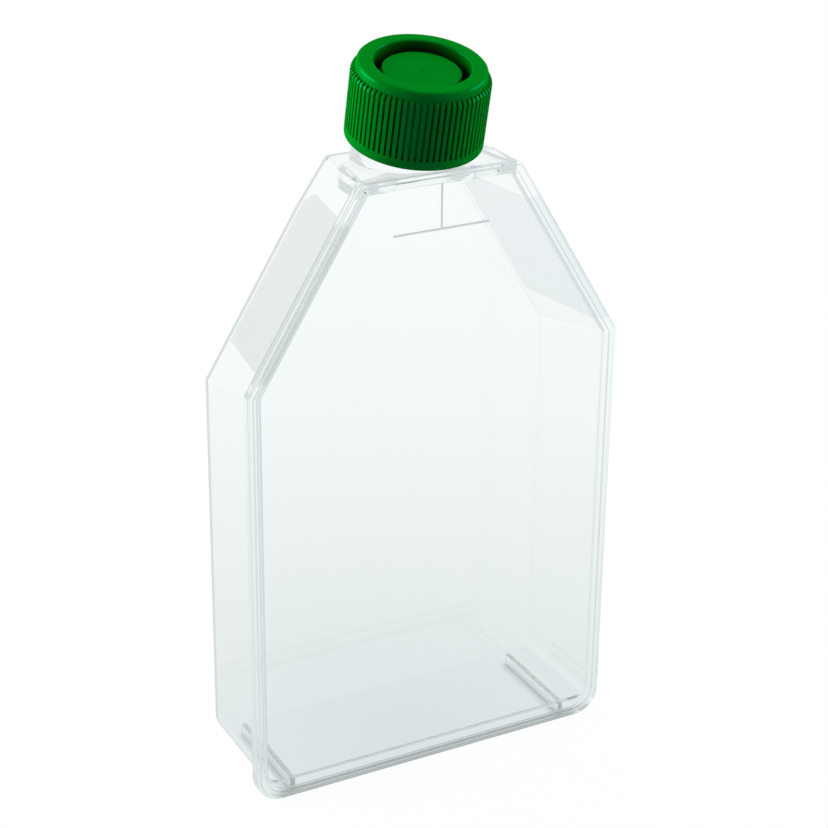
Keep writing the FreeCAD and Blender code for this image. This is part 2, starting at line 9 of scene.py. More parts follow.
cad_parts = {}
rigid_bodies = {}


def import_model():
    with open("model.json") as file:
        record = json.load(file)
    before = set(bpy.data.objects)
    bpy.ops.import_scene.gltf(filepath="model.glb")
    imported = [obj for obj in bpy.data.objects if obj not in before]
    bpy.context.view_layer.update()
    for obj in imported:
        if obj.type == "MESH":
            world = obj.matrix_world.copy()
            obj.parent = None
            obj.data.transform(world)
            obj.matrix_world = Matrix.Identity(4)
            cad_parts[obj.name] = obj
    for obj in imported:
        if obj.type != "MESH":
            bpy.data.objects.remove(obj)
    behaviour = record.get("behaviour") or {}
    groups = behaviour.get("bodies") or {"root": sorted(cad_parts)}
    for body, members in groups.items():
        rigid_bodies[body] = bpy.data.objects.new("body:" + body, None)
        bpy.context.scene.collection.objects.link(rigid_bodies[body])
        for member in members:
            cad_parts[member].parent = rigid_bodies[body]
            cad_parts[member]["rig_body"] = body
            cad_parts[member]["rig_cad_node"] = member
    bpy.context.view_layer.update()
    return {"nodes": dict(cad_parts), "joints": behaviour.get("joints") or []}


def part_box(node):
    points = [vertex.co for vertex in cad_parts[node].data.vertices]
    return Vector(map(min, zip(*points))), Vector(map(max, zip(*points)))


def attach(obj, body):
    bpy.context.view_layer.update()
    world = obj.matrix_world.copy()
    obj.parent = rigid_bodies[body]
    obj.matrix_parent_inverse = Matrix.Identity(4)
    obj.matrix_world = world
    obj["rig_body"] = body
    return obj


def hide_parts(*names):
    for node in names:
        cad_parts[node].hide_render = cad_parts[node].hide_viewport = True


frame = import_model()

bl_info = {
    "name": "Cell Culture Flask",
    "version": (1, 0, 0),
    "blender": (4, 5, 0),
    "location": "View3D > Sidebar > Flask",
    "description": "Clear moulded culture flask with a vented green screw cap",
    "category": "Add Mesh",
}

MM = 0.001
TURN = 2 * math.pi
WHITE = (1.0, 1.0, 1.0)
# Two places count as one when they are nearer than this.
NEAR = 0.01 * MM
# Vertices nearer than this are merged, in what is drawn here and in a copy of a CAD node.
DRAWN_MERGE = 0.002 * MM
CAD_MERGE = 0.001 * MM
# Neighbouring faces of a CAD node that turn less than this are one flat face.
FLAT_TURN = math.radians(0.3)
# Light that has been reflected more often than this inside the clear plastic counts as trapped, and
# glows pale as painted light.
TRAPPED_AFTER = 2.5

CAP_TURN = next(joint for joint in frame["joints"] if joint["name"] == "cap_turn")
NECK_AXIS = Vector(CAP_TURN["axis"]).normalized()
CAP_FOOT = Vector(CAP_TURN["pos_m"])
NECK_FRAME = (Matrix.Translation(CAP_FOOT)
              @ Vector((0, 0, 1)).rotation_difference(NECK_AXIS).to_matrix().to_4x4())
CAP_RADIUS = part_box("screw_cap")[1].x
MEMBRANE_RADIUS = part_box("vent_membrane")[1].x
PLATE_LOW, PLATE_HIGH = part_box("cover_plate")


# ------------------------------------------------------------------ settings

def length(name, description, default):
    """A length that shows in the panel in the scene's unit."""
    return FloatProperty(name=name, description=description, default=default, unit="LENGTH",
                         precision=5)


def colour(name, description, default):
    """A colour swatch of three channels."""
    return FloatVectorProperty(name=name, description=description, default=default,
                               subtype="COLOR", size=3, min=0, max=1)


def how_many(name, description, default):
    """A whole number of parts in a ring."""
    return IntProperty(name=name, description=description, default=default, min=3)


class FlaskSettings(bpy.types.PropertyGroup):
    """Sizes and finish of the clear mouldings."""
    edge_radius: length("Edge radius", "Rounding of the body's moulded edges", 0.25 * MM)
    plate_edge_radius: length("Plate edge radius", "Rounding of the cover plate's edges", 0.15 * MM)
    bead_radius: length("Bead radius", "Rounding of the bead round the cover plate", 0.45 * MM)
    mark_radius: length("Mark radius", "Rounding of the lines of the fill mark", 0.15 * MM)
    # The grey of the fill mark's clear lines is painted shade, standing in for the dark edges of
    # the ridges.
    mark_shade_colour: colour("Mark colour", "Colour that passes the lines of the fill mark",
                        (0.42, 0.45, 0.45))
    mark_width: length("Mark width", "Middle of the fill mark to past either end", 15.4 * MM)
    mark_height: length("Mark height", "Top of the plate to below the fill mark", 20.0 * MM)
    panel_depth: length("Panel depth", "Top of the bead down to the sunk panel", 1.1 * MM)
    panel_inset: length("Panel inset", "Top of the plate down to the edge of the sunk panel",
                        3.0 * MM)
    weld_gap: length("Weld gap", "Space left at the weld so that the two faces don't coincide",
                     0.02 * MM)
    field_foot: length("Field foot", "Height of the lower edge of the matt writing fields",
                       136.5 * MM)
    field_top: length("Field top", "Height of the upper edge of the writing fields", 179.0 * MM)
    field_back: length("Field back", "Plate's back to the rear edge of the writing fields",
                       33.5 * MM)
    # The writing fields are greyed by their frost; the left one is darker than the right as painted
    # shade.
    left_field_shaded: colour("Left field", "Colour that passes the writing field on the left shoulder",
                       (0.80, 0.845, 0.825))
    right_field: colour("Right field", "Colour that passes the writing field on the right shoulder",
                        (0.93, 0.97, 0.985))
    field_frost: FloatProperty(name="Field frost", description="Roughness of the writing fields",
                               default=0.22, min=0, max=1)
    ripple: length("Ripple", "Height of the flow ripples in the surface", 0.008 * MM)
    tint: colour("Tint", "Colour that is left in light that has gone far through the plastic",
                 (0.35, 0.75, 0.72))
    density: FloatProperty(name="Tint density", description="How soon the tint shows, per metre",
                           default=3.0, min=0)


class CapSettings(bpy.types.PropertyGroup):
    """Sizes and finish of the screw cap, measured up from its bottom edge."""
    height: length("Height", "Bottom edge to the top of the ring", 23.15 * MM)
    skirt_radius: length("Skirt radius", "Wall between the grip ribs", 18.95 * MM)
    bore_radius: length("Bore radius", "Inside of the skirt", 17.7 * MM)
    rib_count: how_many("Ribs", "Grip ribs round the skirt", 72)
    rib_width: length("Rib width", "Width of one grip rib", 1.05 * MM)
    band_height: length("Band height", "Smooth band below the ribs", 2.8 * MM)
    rib_top: length("Rib top", "Top of the ribs' outer faces, before they are rounded", 20.1 * MM)
    ring_foot: length("Ring foot", "Where the ring rises from the skirt", 20.7 * MM)
    ring_radius: length("Ring radius", "Outside of the ring on top", 18.55 * MM)
    ring_rounding: length("Ring rounding", "Rounding of the ring's outer edge", 1.2 * MM)
    ring_thickness: length("Ring thickness", "Top of the ring to its underside", 1.5 * MM)
    well_radius: length("Well radius", "Inside of the ring on top", 13.8 * MM)
    disc_radius: length("Disc radius", "Disc in the middle of the well", 11.3 * MM)
    disc_drop: length("Disc drop", "Top of the disc below the top of the ring", 2.3 * MM)
    disc_thickness: length("Disc thickness", "Top to underside of the disc", 3.5 * MM)
    plug_wall: length("Plug wall", "Wall of the well to the outside of the plug", 1.0 * MM)
    plug_length: length("Plug length", "Underside of the ring to the end of the plug", 6.5 * MM)
    seat_width: length("Seat width", "Width of the ledge over the membrane's edge", 2.2 * MM)
    seat_thickness: length("Seat thickness", "Thickness of that ledge", 1.0 * MM)
    membrane_gap: length("Membrane gap", "Space between the ledge and the membrane", 0.05 * MM)
    membrane_thickness: length("Membrane thickness", "Thickness of the membrane", 0.3 * MM)
    web_count: how_many("Webs", "Bars under the disc", 6)
    web_width: length("Web width", "Width of one bar under the disc", 1.2 * MM)
    web_grip: length("Web grip", "How far the bars reach up into the disc", 0.9 * MM)
    thread_middle: length("Thread middle", "Height of the thread where it starts", 8.8 * MM)
    thread_depth: length("Thread depth", "How far the thread stands out of the skirt's bore",
                         0.85 * MM)
    thread_pitch: length("Thread pitch", "Rise of the thread in one turn", 4.0 * MM)
    thread_turns: FloatProperty(name="Thread turns", description="Turns of the thread",
                                default=1.25, min=0)
    colour: colour("Colour", "Colour of the green plastic", (0.0008, 0.25, 0.008))
    shine: colour("Shine", "Colour of the plastic's gloss", (0.0, 0.85, 0.3))


class StageSettings(bpy.types.PropertyGroup):
    """Light, floor and camera."""
    lens: FloatProperty(name="Lens", description="Focal length on a 36 mm wide sensor",
                        default=95.6, unit="CAMERA")
    stand: FloatVectorProperty(name="Stand", size=3, subtype="TRANSLATION", precision=5,
                               description="Place of the camera from the plate's back face",
                               default=(-0.2827, -0.51081, 0.38184))
    heading: FloatProperty(name="Heading", description="Where the camera looks, clockwise from +Y",
                           default=math.radians(28.33), subtype="ANGLE")
    dip: FloatProperty(name="Dip", description="How far the camera looks down",
                       default=math.radians(24.46), subtype="ANGLE")
    roll: FloatProperty(name="Roll", description="Turn of the camera about its own axis",
                        default=math.radians(0.69), subtype="ANGLE")
    top_light: FloatProperty(name="Top light", description="Watts of the lamp above",
                             default=11.0)
    side_light: FloatProperty(name="Side light", description="Watts of the lamps at the sides",
                              default=15.0)
    fill: FloatProperty(name="Fill", description="Strength of the light from all round",
                        default=0.05)


# ------------------------------------------------------------------ selecting and shaping

def select_only(*pieces):
    """Leave edit mode, and select just these objects, the first one active."""
    if bpy.context.mode != "OBJECT":
        bpy.ops.object.mode_set(mode="OBJECT")
    bpy.ops.object.select_all(action="DESELECT")
    for piece in pieces:
        piece.select_set(True)
    bpy.context.view_layer.objects.active = pieces[0] if pieces else None


def edit(piece, mode="VERT"):
    """Enter edit mode on one object with nothing selected."""
    select_only(piece)
    bpy.ops.object.mode_set(mode="EDIT")
    bpy.ops.mesh.select_mode(type=mode)
    bpy.ops.mesh.select_all(action="DESELECT")


def pick(piece, kind, wanted):
    """Select the vertices, edges or faces for which `wanted` is true, and return how many."""
    mesh = bmesh.from_edit_mesh(piece.data)
    picked = [element for element in getattr(mesh, kind) if wanted(element)]
    for element in picked:
        element.select_set(True)
    mesh.select_flush_mode()
    bmesh.update_edit_mesh(piece.data)
    return len(picked)


def close_up(piece):
    """Merge what coincides and turn every face outwards."""
    edit(piece)
    bpy.ops.mesh.select_all(action="SELECT")
    bpy.ops.mesh.remove_doubles(threshold=DRAWN_MERGE)
    bpy.ops.mesh.normals_make_consistent(inside=False)
    bpy.ops.object.mode_set(mode="OBJECT")


def apply_modifier(piece, kind, **settings):
    """Add a modifier, set it and apply it."""
    select_only(piece)
    modifier = piece.modifiers.new(kind.lower(), kind)
    for key, value in settings.items():
        setattr(modifier, key, value)
    bpy.ops.object.modifier_apply(modifier=modifier.name)


def round_edges(piece, wanted, radius, segments=3):
    """Bevel the edges for which `wanted` is true."""
    edit(piece, "EDGE")
    if not pick(piece, "edges", wanted):
        raise RuntimeError(f"{piece.name}: no edge to round")
    bpy.ops.mesh.bevel(offset=radius, segments=segments, affect="EDGES", clamp_overlap=True)
    bpy.ops.object.mode_set(mode="OBJECT")


def single_vertex(name, point):
    """A new mesh object of one vertex, to be extruded."""
    select_only()
    bpy.ops.mesh.primitive_plane_add(size=MM, location=(0, 0, 0))
    piece = bpy.context.active_object
    piece.name = piece.data.name = name
    edit(piece)
    bpy.ops.mesh.select_all(action="SELECT")
    bpy.ops.mesh.merge(type="CENTER")
    bpy.ops.transform.translate(value=point)
    return piece


def draw_profile(name, corners):
    """A closed outline in the XZ plane through (radius, height) corners, left in edit mode."""
    piece = single_vertex(name, (corners[0][0], 0, corners[0][1]))
    for (r0, z0), (r1, z1) in zip(corners, corners[1:]):
        step = (r1 - r0, 0, z1 - z0)
        bpy.ops.mesh.extrude_vertices_move(TRANSFORM_OT_translate={"value": step})
    bpy.ops.mesh.select_all(action="DESELECT")
    pick(piece, "verts", lambda vertex: len(vertex.link_edges) == 1)
    bpy.ops.mesh.edge_face_add()
    return piece


def lathe(name, corners, steps, rounded=()):
    """Turn a closed outline of (radius, height) corners about the Z axis.

    `rounded` holds (radius, height, edge radius) for the corners that are rounded.
    """
    piece = draw_profile(name, corners)
    bpy.ops.mesh.select_all(action="SELECT")
    bpy.ops.mesh.spin(steps=steps, angle=TURN, center=(0, 0, 0), axis=(0, 0, 1))
    close_up(piece)
    for r, z, edge_radius in rounded:
        def on_corner(edge):
            return all(abs(math.hypot(v.co.x, v.co.y) - r) < NEAR and abs(v.co.z - z) < NEAR
                       for v in edge.verts)
        round_edges(piece, on_corner, edge_radius)
    return piece


def block(name, low, high):
    """A box between two corners, as the start of a shape."""
    select_only()
    low, high = Vector(low), Vector(high)
    bpy.ops.mesh.primitive_cube_add(size=1, location=(low + high) / 2, scale=high - low)
    piece = bpy.context.active_object
    piece.name = piece.data.name = name
    bpy.ops.object.transform_apply(location=True, rotation=True, scale=True)
    return piece


def copy_round(piece, count):
    """Copies of a piece in a ring about the Z axis, each with its own mesh. Returns all of them."""
    ring = [piece]
    for number in range(1, count):
        select_only(piece)
        bpy.ops.object.duplicate(linked=False)
        twin = bpy.context.active_object
        twin.rotation_euler.z = TURN * number / count
        bpy.ops.object.transform_apply(location=False, rotation=True, scale=False)
        ring.append(twin)
    return ring


def join(pieces, name):
    """Join pieces into the first one."""
    select_only(*pieces)
    bpy.ops.object.join()
    whole = bpy.context.active_object
    whole.name = whole.data.name = name
    return whole


def stand_on_neck(piece):
    """Move a piece drawn about the Z axis onto the neck, and put its place into its mesh."""
    piece.matrix_world = NECK_FRAME
    select_only(piece)
    bpy.ops.object.transform_apply(location=True, rotation=True, scale=True)


def smooth(piece, degrees):
    """Shade curved faces smooth, and let the large flat faces keep their own direction."""
    select_only(piece)
    bpy.ops.object.shade_smooth_by_angle(angle=math.radians(degrees))
    apply_modifier(piece, "WEIGHTED_NORMAL", mode="FACE_AREA", weight=50, keep_sharp=True)


def copy_of_node(node, name):
    """A merged copy of a CAD node, with whole faces in place of its loose triangles."""
    select_only(frame["nodes"][node])
    bpy.ops.object.duplicate(linked=False)
    piece = bpy.context.active_object
    piece.name = piece.data.name = name
    bpy.ops.object.parent_clear(type="CLEAR_KEEP_TRANSFORM")
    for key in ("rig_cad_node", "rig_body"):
        if key in piece:
            del piece[key]
    bpy.ops.mesh.customdata_custom_splitnormals_clear()
    edit(piece)
    bpy.ops.mesh.select_all(action="SELECT")
    bpy.ops.mesh.remove_doubles(threshold=CAD_MERGE)
    bpy.ops.mesh.dissolve_limited(angle_limit=FLAT_TURN)
    bpy.ops.object.mode_set(mode="OBJECT")
    return piece


def finish_piece(piece, node, body, material):
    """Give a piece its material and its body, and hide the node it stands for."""
    piece.data.materials.clear()
    piece.data.materials.append(material)
    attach(piece, body)
    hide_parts(node)


# ------------------------------------------------------------------ shaders

class Channel:
    """An output of a node. Arithmetic on it adds the Math nodes that work it out."""

    def __init__(self, shader, socket):
        self.shader = shader
        self.socket = socket

    def _math(self, operation, first, second):
        return self.shader.add("ShaderNodeMath", {"operation": operation}, {0: first, 1: second})

    def __add__(self, other):
        return self._math("ADD", self, other)

    def __radd__(self, other):
        return self._math("ADD", other, self)

    def __sub__(self, other):
        return self._math("SUBTRACT", self, other)

    def __mul__(self, other):
        return self._math("MULTIPLY", self, other)


class Shader:
    """The node tree of a material or of the world."""

    def __init__(self, owner, output="ShaderNodeOutputMaterial"):
        owner.use_nodes = True
        self.tree = owner.node_tree
        self.tree.nodes.clear()
        self.output = self.tree.nodes.new(output)

    def add(self, kind, settings=None, inputs=None, output=0):
        """Add a node, set it, then fill or link its inputs. Returns one of its outputs."""
        node = self.tree.nodes.new(kind)
        for key, value in (settings or {}).items():
            if key == "stops":
                self._set_stops(node.color_ramp, value)
            else:
                setattr(node, key, value)
        for key, value in (inputs or {}).items():
            self.feed(node.inputs[key], value)
        return Channel(self, node.outputs[output])

    def _set_stops(self, ramp, stops):
        while len(ramp.elements) > 1:
            ramp.elements.remove(ramp.elements[-1])
        for number, (position, value) in enumerate(stops):
            stop = ramp.elements[0] if number == 0 else ramp.elements.new(position)
            stop.position = position
            stop.color = (*value, 1)

    def feed(self, socket, value):
        """Link a channel to a socket, or set the socket's own value."""
        if isinstance(value, Channel):
            self.tree.links.new(value.socket, socket)
        elif isinstance(value, tuple) and socket.type == "RGBA":
            socket.default_value = (*value, 1)
        else:
            socket.default_value = value

    def surface(self, channel, volume=None):
        """Feed the output with a surface, and with what fills the inside if there is anything."""
        self.feed(self.output.inputs["Surface"], channel)
        if volume:
            self.feed(self.output.inputs["Volume"], volume)

    def place(self):
        """Object coordinates, in metres."""
        return self.add("ShaderNodeTexCoord", output="Object")

    def parts(self, place):
        """The x, y and z of a vector."""
        return [self.add("ShaderNodeSeparateXYZ", None, {0: place}, axis) for axis in "XYZ"]

    def noise(self, place, scale, detail=2.0, roughness=0.5):
        """Soft random values round one half. The scale is in patches per metre."""
        return self.add("ShaderNodeTexNoise", None, {
            "Vector": place, "Scale": scale, "Detail": detail, "Roughness": roughness}, "Fac")

    def blend(self, share, first, second):
        """The first colour where the share is nought, and the second where it is one."""
        return self.add("ShaderNodeMix", {"data_type": "RGBA"}, {0: share, 6: first, 7: second}, 2)

    def absolute(self, value):
        """The value without its sign."""
        return self.add("ShaderNodeMath", {"operation": "ABSOLUTE"}, {0: value})

    def rise(self, value, low, high):
        """From nought where the value is at `low` to one where it is at `high`, level beyond."""
        return self.add("ShaderNodeMapRange", None, {
            "Value": value, "From Min": low, "From Max": high})

    def seen(self):
        """Two channels: one for the camera's own rays, and one for these and the rays that see
        the surroundings in a reflection or through a clear piece."""
        path = self.tree.nodes.new("ShaderNodeLightPath")
        rays = [Channel(self, path.outputs[name])
                for name in ("Is Camera Ray", "Is Glossy Ray", "Is Transmission Ray")]
        total = rays[0] + rays[1] + rays[2]
        total.socket.node.use_clamp = True
        return rays[0], total


def fill_mark(settings):
    """Where the fill mark's raised lines are, and their look: a grey painted on the clear lines as
    painted shade for their dark edges.
    """
    panel = PLATE_LOW.y + settings.panel_depth
    top = PLATE_HIGH.z - settings.panel_inset
    bottom = top - settings.mark_height
    end = 16.0 * MM
    raised = 0.06 * MM
    blur = 0.1 * MM
    frost = 0.1

    def where(shader, place):
        x, y, z = shader.parts(place)
        across = shader.absolute(x)
        return (shader.rise(y, panel - raised / 2, panel - raised)
                * shader.rise(across, end, end - blur)
                * shader.rise(z, top - blur / 2, top - blur)
                * shader.rise(z, bottom, bottom + blur))
    return where, tuple(settings.mark_shade_colour), tuple(settings.mark_shade_colour), frost


def writing_field(settings, body):
    """Where the matt fields on the outside of the two shoulder walls are, and their look: frost,
    and a darker left field that is painted shade.

    Each field has its upper rear corner cut off.
    """
    walls = [face for face in body.data.polygons if face.normal.x > 0.7 and face.normal.z > 0.3]
    wall = max(walls, key=lambda face: face.area)
    along = tuple(wall.normal)
    surface = wall.normal.dot(wall.center)
    back = PLATE_HIGH.y + settings.field_back
    slope = 0.7
    corner = 5 * MM
    cut = settings.field_top + slope * (back - corner)
    blur = 0.15 * MM
    skin = 0.5 * MM

    def where(shader, place):
        x, y, z = shader.parts(place)
        across = shader.absolute(x)
        out = across * along[0] + y * along[1] + z * along[2]
        return (shader.rise(out, surface - skin, surface - skin * 0.8)
                * shader.rise(z, settings.field_foot - blur, settings.field_foot + blur)
                * shader.rise(z, settings.field_top + blur, settings.field_top - blur)
                * shader.rise(y, back + blur, back - blur)
                * shader.rise(z + y * slope, cut + blur, cut - blur))
    return where, tuple(settings.left_field_shaded), tuple(settings.right_field), settings.field_frost


def clear_plastic(name, settings, patch):
    """Polished clear polystyrene: faint flow ripples, a trace of haze, and a tint in its depth.

    `patch` says where the surface is marked, what colour passes it on the left and on the right,
    and how rough it is there; a darker left is painted shade. Light trapped in the plastic is
    painted as a pale glow.
    """
    where, left, right, frost = patch
    material = bpy.data.materials.new(name)
    shader = Shader(material)
    place = shader.place()
    ripples = shader.noise(place, scale=22.0, detail=1.5)
    haze = shader.noise(place, scale=130.0, detail=4.0, roughness=0.6)
    bump = shader.add("ShaderNodeBump", None, {
        "Strength": 0.25, "Distance": settings.ripple, "Height": ripples + haze * 0.01})
    marked = where(shader, place)
    # Painted shade: a patch takes the left colour at negative x and the right colour at positive x.
    side = shader.rise(shader.parts(place)[0], -MM, MM)
    paint = shader.blend(marked, (0.985, 1.0, 0.998), shader.blend(side, left, right))
    plastic = shader.add("ShaderNodeBsdfPrincipled", None, {
        "Base Color": paint, "Roughness": haze * 0.02 + marked * frost, "IOR": 1.59,
        "Transmission Weight": 1.0, "Normal": bump})
    path = shader.tree.nodes.new("ShaderNodeLightPath")
    shadow = Channel(shader, path.outputs["Is Shadow Ray"])
    clear = shader.add("ShaderNodeBsdfTransparent", None, {"Color": (0.9, 0.93, 0.93)})
    through = shader.add("ShaderNodeMixShader", None, {0: shadow, 1: plastic, 2: clear})
    # Painted light: after more glossy bounces than TRAPPED_AFTER the plastic shows a pale glow
    # instead of going dark.
    trapped = shader.add("ShaderNodeMath", {"operation": "GREATER_THAN"}, {
        0: Channel(shader, path.outputs["Glossy Depth"]), 1: TRAPPED_AFTER})
    glow = shader.add("ShaderNodeEmission", None, {"Color": (0.66, 0.7, 0.7), "Strength": 1.0})
    whole = shader.add("ShaderNodeMixShader", None, {0: trapped, 1: through, 2: glow})
    depth = shader.add("ShaderNodeVolumeAbsorption", None, {
        "Color": tuple(settings.tint), "Density": settings.density})
    shader.surface(whole, depth)
    return material


def painted_shade_in_hollows(shader, place, settings):
    """Painted shade: how deep a point lies in the well round the disc or between two grip ribs, up
    to one.
    """
    def vectors(operation, first, second=None, output=0):
        inputs = {0: first} if second is None else {0: first, 1: tuple(second)}
        return shader.add("ShaderNodeVectorMath", {"operation": operation}, inputs, output)

    out = vectors("SUBTRACT", place, CAP_FOOT)
    up = vectors("DOT_PRODUCT", out, NECK_AXIS, "Value")
    across = vectors("CROSS_PRODUCT", out, NECK_AXIS)
    radius = vectors("LENGTH", across, output="Value")
    fade = 0.1 * MM
    full_depth = 4.5 * MM
    groove_shade_share = 0.7
    well = (shader.rise(radius, settings.disc_radius - 3 * fade, settings.disc_radius + fade)
            * shader.rise(radius, settings.well_radius + 4 * fade, settings.well_radius + fade)
            * shader.rise(up, settings.height - 3 * fade, settings.height - full_depth))
    groove = (shader.rise(radius, settings.skirt_radius + 6 * fade, settings.skirt_radius)
              * shader.rise(radius, settings.ring_radius + fade, settings.skirt_radius - fade)
              * shader.rise(up, settings.ring_foot, settings.rib_top))
    return well + groove * groove_shade_share


def green_plastic(settings):
    """Satin green polyethylene with faint flow marks, a fine moulded grain, and painted shade in
    the well and between the grip ribs.
    """
    material = bpy.data.materials.new("green_polyethylene")
    shader = Shader(material)
    place = shader.place()
    flow = shader.noise(place, scale=60.0, detail=3.0)
    grain = shader.noise(place, scale=2600.0)
    spread = 0.12
    shaded_share = 0.12
    shine_share = 0.03
    base = tuple(settings.colour)
    lighter = tuple(min(1.0, channel * (1 + spread)) for channel in base)
    darker = tuple(channel * (1 - spread) for channel in base)
    # Painted shade: the well and the grooves between the ribs take the base colour at 0.12 of its
    # strength.
    shaded = tuple(channel * shaded_share for channel in base)
    paint = shader.blend(flow, darker, lighter)
    paint = shader.blend(painted_shade_in_hollows(shader, place, settings), paint, shaded)
    bump = shader.add("ShaderNodeBump", None, {
        "Strength": 0.3, "Distance": 0.02 * MM, "Height": grain + flow * 0.5})
    plastic = shader.add("ShaderNodeBsdfPrincipled", None, {
        "Base Color": paint, "Roughness": 0.3 + flow * 0.12, "IOR": 1.45,
        "Specular IOR Level": 0.0, "Sheen Weight": 0.06, "Sheen Roughness": 0.3,
        "Sheen Tint": (0.0, 0.8, 0.15), "Normal": bump})
    shine = shader.add("ShaderNodeBsdfAnisotropic", None, {
        "Color": tuple(settings.shine), "Roughness": 0.22, "Normal": bump})
    shader.surface(shader.add("ShaderNodeMixShader", None, {0: shine_share, 1: plastic, 2: shine}))
    return material


def membrane_felt():
    """White filter membrane of fine matted fibres."""
    material = bpy.data.materials.new("filter_membrane")
    shader = Shader(material)
    place = shader.place()
    fibres = shader.noise(place, scale=1800.0, detail=6.0, roughness=0.7)
    cloud = shader.noise(place, scale=180.0)
    paint = shader.blend(cloud, (0.74, 0.75, 0.72), (0.84, 0.84, 0.81))
    bump = shader.add("ShaderNodeBump", None, {
        "Strength": 0.6, "Distance": 0.05 * MM, "Height": fibres})
    felt = shader.add("ShaderNodeBsdfPrincipled", None, {
        "Base Color": paint, "Roughness": 0.8 + fibres * 0.15, "Normal": bump})
    shader.surface(felt)
    return material


# ------------------------------------------------------------------ the pieces

class FLASK_OT_add_body(bpy.types.Operator):
    """Add the moulded body: chamber, weld flange, standing ribs, block and threaded neck"""
    bl_idname = "flask.add_body"
    bl_label = "Add Body"

    def execute(self, context):
        settings = context.scene.flask
        body = copy_of_node("flask_body", "clear_body")
        neck_reach = 19.0 * MM
        neck_foot = PLATE_HIGH.z - 3.5 * MM
        sharp = math.radians(28)

        def moulded(edge):
            middle = (edge.verts[0].co + edge.verts[1].co) / 2
            out = middle - CAP_FOOT
            from_axis = (out - NECK_AXIS * out.dot(NECK_AXIS)).length
            on_neck = from_axis < neck_reach and middle.z > neck_foot
            if on_neck or len(edge.link_faces) != 2:
                return False
            return edge.calc_face_angle() > sharp

        round_edges(body, moulded, settings.edge_radius, segments=2)
        smooth(body, degrees=32)
        fields = writing_field(settings, body)
        finish_piece(body, "flask_body", "flask",
                     clear_plastic("clear_polystyrene_body", settings, fields))
        return {"FINISHED"}


class FLASK_OT_add_plate(bpy.types.Operator):
    """Add the cover plate with its bead, sunk panel and fill mark"""
    bl_idname = "flask.add_plate"
    bl_label = "Add Cover Plate"

    def execute(self, context):
        settings = context.scene.flask
        plate = copy_of_node("cover_plate", "clear_plate")
        back = PLATE_HIGH.y
        edit(plate)
        pick(plate, "verts", lambda vertex: abs(vertex.co.y - back) < NEAR)
        bpy.ops.transform.translate(value=(0, -settings.weld_gap, 0))
        mark_low, mark_high = PLATE_HIGH.z - settings.mark_height, PLATE_HIGH.z - 1 * MM
        mark_back = back - 1.6 * MM
        bead_top = PLATE_LOW.y + 0.1 * MM

        def on_mark(edge):
            return all(abs(v.co.x) < settings.mark_width and mark_low < v.co.z < mark_high
                       for v in edge.verts)

        def sharp(edge):
            return edge.calc_face_angle(0) > math.radians(40)

        def ahead_of(edge, y):
            return max(v.co.y for v in edge.verts) < y

        round_edges(plate, lambda edge: sharp(edge) and on_mark(edge)
                    and ahead_of(edge, mark_back), settings.mark_radius)
        round_edges(plate, lambda edge: sharp(edge) and ahead_of(edge, bead_top),
                    settings.bead_radius)
        round_edges(plate, lambda edge: sharp(edge) and not on_mark(edge),
                    settings.plate_edge_radius, segments=2)
        smooth(plate, degrees=32)
        finish_piece(plate, "cover_plate", "flask",
                     clear_plastic("clear_polystyrene_plate", settings, fill_mark(settings)))
        return {"FINISHED"}


def plug_height(settings):
    """Height of the end of the cap's plug, above the cap's bottom edge."""
    return settings.height - settings.ring_thickness - settings.plug_length


